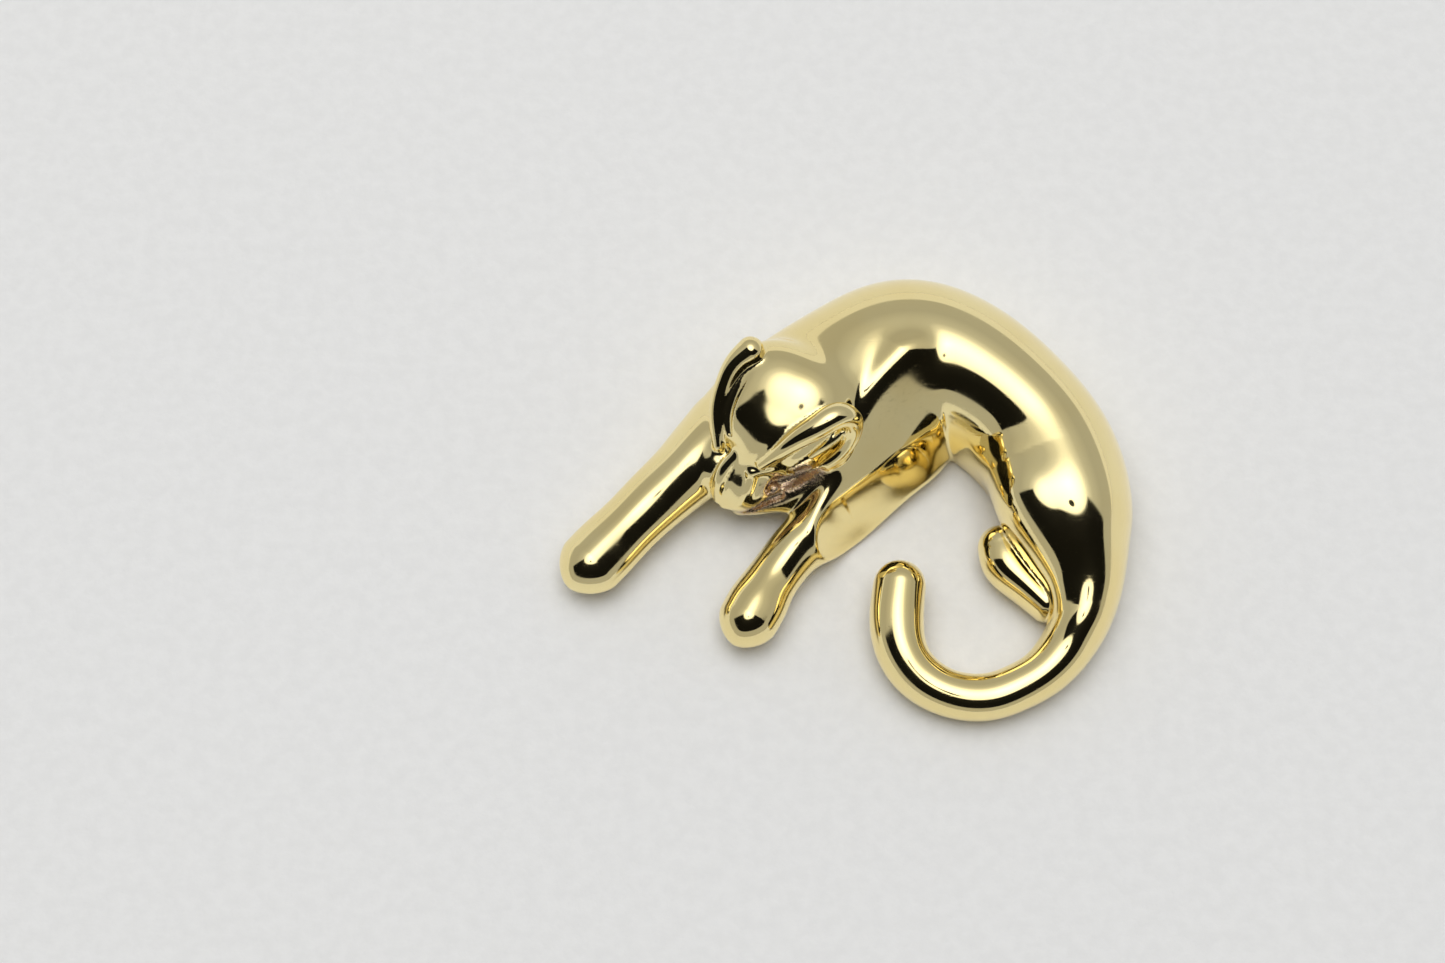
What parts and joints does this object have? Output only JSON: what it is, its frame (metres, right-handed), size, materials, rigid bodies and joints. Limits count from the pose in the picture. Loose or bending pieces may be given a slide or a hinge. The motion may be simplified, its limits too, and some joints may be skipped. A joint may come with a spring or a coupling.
{
  "type": "animal brooch",
  "caption": "Gold-coloured brooch of a crouching big cat curled in a C, with a riveted pin stem and a rolling safety catch on its recessed back plate.",
  "frame": {"origin": "under the middle of the brooch's box, on the plane of the rim that lies against the cloth", "axes": "+Z out of the front towards the viewer, +X from the forepaws to the haunch along the longest side, +Y from the tail to the arched back"},
  "size_m": [0.0402, 0.0322, 0.0113],
  "materials": {
    "polished_gold": "mirror polished, fine handling scratches, rougher casting skin in the recesses",
    "satin_gold": "satin, lightly brushed",
    "pin_wire": "hard drawn wire, ground point"
  },
  "bodies": {
    "brooch": {"torso_shell": "polished_gold", "haunch_shell": "polished_gold", "tail": "polished_gold", "head": "polished_gold", "far_foreleg": "polished_gold", "near_foreleg": "polished_gold", "hind_paw": "polished_gold", "back_plate": "satin_gold", "hinge_block": "satin_gold", "hinge_rivet": "satin_gold", "catch_housing": "satin_gold"},
    "pin": {"pin_stem": "pin_wire"},
    "catch": {"catch_rotor": "satin_gold"}
  },
  "joints": [
    {"name": "pin_swing", "type": "hinge", "parent": "brooch", "child": "pin", "pos_m": [-0.005, 0.0088, 0.0015], "axis": [0, 1, 0], "range_deg": [0, 100]},
    {"name": "catch_turn", "type": "hinge", "parent": "brooch", "child": "catch", "pos_m": [0.012, 0.0088, 0.0015], "axis": [1, 0, 0], "range_deg": [-100, 0]}
  ]
}
